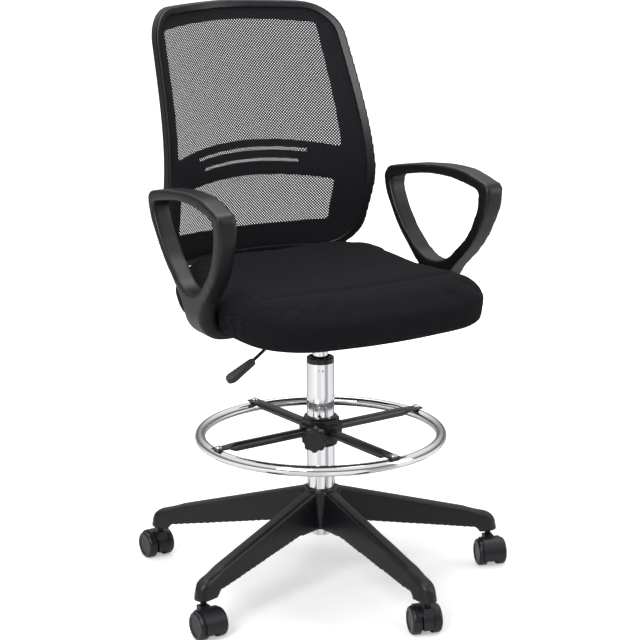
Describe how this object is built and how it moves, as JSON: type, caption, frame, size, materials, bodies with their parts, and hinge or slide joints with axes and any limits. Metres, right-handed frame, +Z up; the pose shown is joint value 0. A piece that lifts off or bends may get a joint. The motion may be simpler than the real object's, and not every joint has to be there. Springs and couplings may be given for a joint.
{
  "type": "drafting chair",
  "caption": "Tall swivel chair with a mesh back, padded seat, loop armrests, chrome foot ring on a gas column and a five-leg caster base.",
  "frame": {"origin": "on the floor, on the axis of the gas column", "axes": "+Z up; -Y is the way the sitter faces; the sitter's left hand is on the +X side"},
  "size_m": [0.6689, 0.6708, 1.0332],
  "materials": {
    "chrome": "polished chrome plate",
    "zinc": "bright zinc plate",
    "black_steel": "black powder coat",
    "steel": "ground steel",
    "nylon": "fine-grained moulded nylon",
    "arm_plastic": "satin moulded plastic",
    "gloss_black": "smooth moulded plastic",
    "mesh_fabric": "open knitted mesh",
    "seat_fabric": "woven upholstery fabric",
    "foam": "moulded foam",
    "plywood": "bare plywood",
    "bush": "moulded acetal"
  },
  "bodies": {
    "base": {"base_star": "nylon", "column_tube": "chrome", "column_guide_bush": "bush", "column_retaining_clip": "steel", "thrust_bearing": "steel", "caster_stems": "steel", "caster_grip_rings": "steel"},
    "piston": {"piston_rod": "steel"},
    "seat": {"lift_cylinder": "chrome", "seat_plate": "black_steel", "taper_socket": "black_steel", "lever_pivot_pin": "steel", "seat_board": "plywood", "seat_foam": "foam", "seat_cover": "seat_fabric", "seat_plate_bolts": "zinc", "armrest_bolts": "zinc", "back_bar_bolts": "zinc", "seat_tee_nuts": "zinc", "armrest_left": "arm_plastic", "armrest_right": "arm_plastic", "back_bar": "black_steel", "back_frame": "nylon", "back_frame_screws": "zinc", "back_mesh": "mesh_fabric", "back_rim": "nylon"},
    "lever": {"lift_lever": "black_steel", "lever_paddle": "nylon"},
    "button": {"valve_button": "bush"},
    "footring_sleeve": {"footring_sleeve": "bush"},
    "footring": {"footring_hub": "nylon", "footring_ring": "chrome", "footring_screws": "chrome", "footring_spoke_1": "black_steel", "footring_spoke_2": "black_steel", "footring_spoke_3": "black_steel", "footring_spoke_4": "black_steel"},
    "knob": {"footring_knob": "nylon", "footring_knob_stud": "zinc"},
    "caster_1": {"caster_hood_1": "nylon", "caster_axle_1": "steel"},
    "wheel_1_left": {"caster_wheel_1_left": "gloss_black"},
    "wheel_1_right": {"caster_wheel_1_right": "gloss_black"},
    "caster_2": {"caster_hood_2": "nylon", "caster_axle_2": "steel"},
    "wheel_2_left": {"caster_wheel_2_left": "gloss_black"},
    "wheel_2_right": {"caster_wheel_2_right": "gloss_black"},
    "caster_3": {"caster_hood_3": "nylon", "caster_axle_3": "steel"},
    "wheel_3_left": {"caster_wheel_3_left": "gloss_black"},
    "wheel_3_right": {"caster_wheel_3_right": "gloss_black"},
    "caster_4": {"caster_hood_4": "nylon", "caster_axle_4": "steel"},
    "wheel_4_left": {"caster_wheel_4_left": "gloss_black"},
    "wheel_4_right": {"caster_wheel_4_right": "gloss_black"},
    "caster_5": {"caster_hood_5": "nylon", "caster_axle_5": "steel"},
    "wheel_5_left": {"caster_wheel_5_left": "gloss_black"},
    "wheel_5_right": {"caster_wheel_5_right": "gloss_black"}
  },
  "joints": [
    {"name": "seat_swivel", "type": "hinge", "parent": "base", "child": "piston", "pos_m": [0, 0, 0.1], "axis": [0, 0, 1], "continuous": true},
    {"name": "seat_lift", "type": "slide", "parent": "piston", "child": "seat", "axis": [0, 0, 1], "range_m": [0, 0.19]},
    {"name": "lever_lift", "type": "hinge", "parent": "seat", "child": "lever", "pos_m": [-0.034, 0, 0.4871], "axis": [0, 1, 0], "range_deg": [0, 5.5]},
    {"name": "valve_press", "type": "slide", "parent": "seat", "child": "button", "axis": [0, 0, -1], "range_m": [0, 0.003]},
    {"name": "footring_slide", "type": "slide", "parent": "base", "child": "footring_sleeve", "axis": [0, 0, 1], "range_m": [-0.075, 0.09]},
    {"name": "footring_turn", "type": "hinge", "parent": "footring_sleeve", "child": "footring", "pos_m": [0, 0, 0.287], "axis": [0, 0, 1], "continuous": true},
    {"name": "knob_turn", "type": "hinge", "parent": "footring", "child": "knob", "pos_m": [-0.0328, -0.03774, 0.287], "axis": [-0.6561, -0.7547, 0], "continuous": true},
    {"name": "caster_swivel_1", "type": "hinge", "parent": "base", "child": "caster_1", "pos_m": [0.00848, -0.32389, 0.045], "axis": [0, 0, 1], "continuous": true},
    {"name": "wheel_roll_1_left", "type": "hinge", "parent": "caster_1", "child": "wheel_1_left", "pos_m": [0.01345, -0.30763, 0.025], "axis": [-0.9563, 0.2924, 0], "continuous": true},
    {"name": "wheel_roll_1_right", "type": "hinge", "parent": "caster_1", "child": "wheel_1_right", "pos_m": [0.01345, -0.30763, 0.025], "axis": [-0.9563, 0.2924, 0], "continuous": true},
    {"name": "caster_swivel_2", "type": "hinge", "parent": "base", "child": "caster_2", "pos_m": [0.31066, -0.09202, 0.045], "axis": [0, 0, 1], "continuous": true},
    {"name": "wheel_roll_2_left", "type": "hinge", "parent": "caster_2", "child": "wheel_2_left", "pos_m": [0.30484, -0.108, 0.025], "axis": [0.9397, -0.342, 0], "continuous": true},
    {"name": "wheel_roll_2_right", "type": "hinge", "parent": "caster_2", "child": "wheel_2_right", "pos_m": [0.30484, -0.108, 0.025], "axis": [0.9397, -0.342, 0], "continuous": true},
    {"name": "caster_swivel_3", "type": "hinge", "parent": "base", "child": "caster_3", "pos_m": [0.18352, 0.26702, 0.045], "axis": [0, 0, 1], "continuous": true},
    {"name": "wheel_roll_3_left", "type": "hinge", "parent": "caster_3", "child": "wheel_3_left", "pos_m": [0.19824, 0.25852, 0.025], "axis": [0.5, 0.866, 0], "continuous": true},
    {"name": "wheel_roll_3_right", "type": "hinge", "parent": "caster_3", "child": "wheel_3_right", "pos_m": [0.19824, 0.25852, 0.025], "axis": [0.5, 0.866, 0], "continuous": true},
    {"name": "caster_swivel_4", "type": "hinge", "parent": "base", "child": "caster_4", "pos_m": [-0.19724, 0.25705, 0.045], "axis": [0, 0, 1], "continuous": true},
    {"name": "wheel_roll_4_left", "type": "hinge", "parent": "caster_4", "child": "wheel_4_left", "pos_m": [-0.19813, 0.27402, 0.025], "axis": [-0.9986, -0.0523, 0], "continuous": true},
    {"name": "wheel_roll_4_right", "type": "hinge", "parent": "caster_4", "child": "wheel_4_right", "pos_m": [-0.19813, 0.27402, 0.025], "axis": [-0.9986, -0.0523, 0], "continuous": true},
    {"name": "caster_swivel_5", "type": "hinge", "parent": "base", "child": "caster_5", "pos_m": [-0.30542, -0.10815, 0.045], "axis": [0, 0, 1], "continuous": true},
    {"name": "wheel_roll_5_left", "type": "hinge", "parent": "caster_5", "child": "wheel_5_left", "pos_m": [-0.30512, -0.12515, 0.025], "axis": [0.9998, 0.0175, 0], "continuous": true},
    {"name": "wheel_roll_5_right", "type": "hinge", "parent": "caster_5", "child": "wheel_5_right", "pos_m": [-0.30512, -0.12515, 0.025], "axis": [0.9998, 0.0175, 0], "continuous": true}
  ],
  "couplings": [
    {"joint": "valve_press", "follows": "lever_lift", "m_per_rad": 0.031}
  ]
}
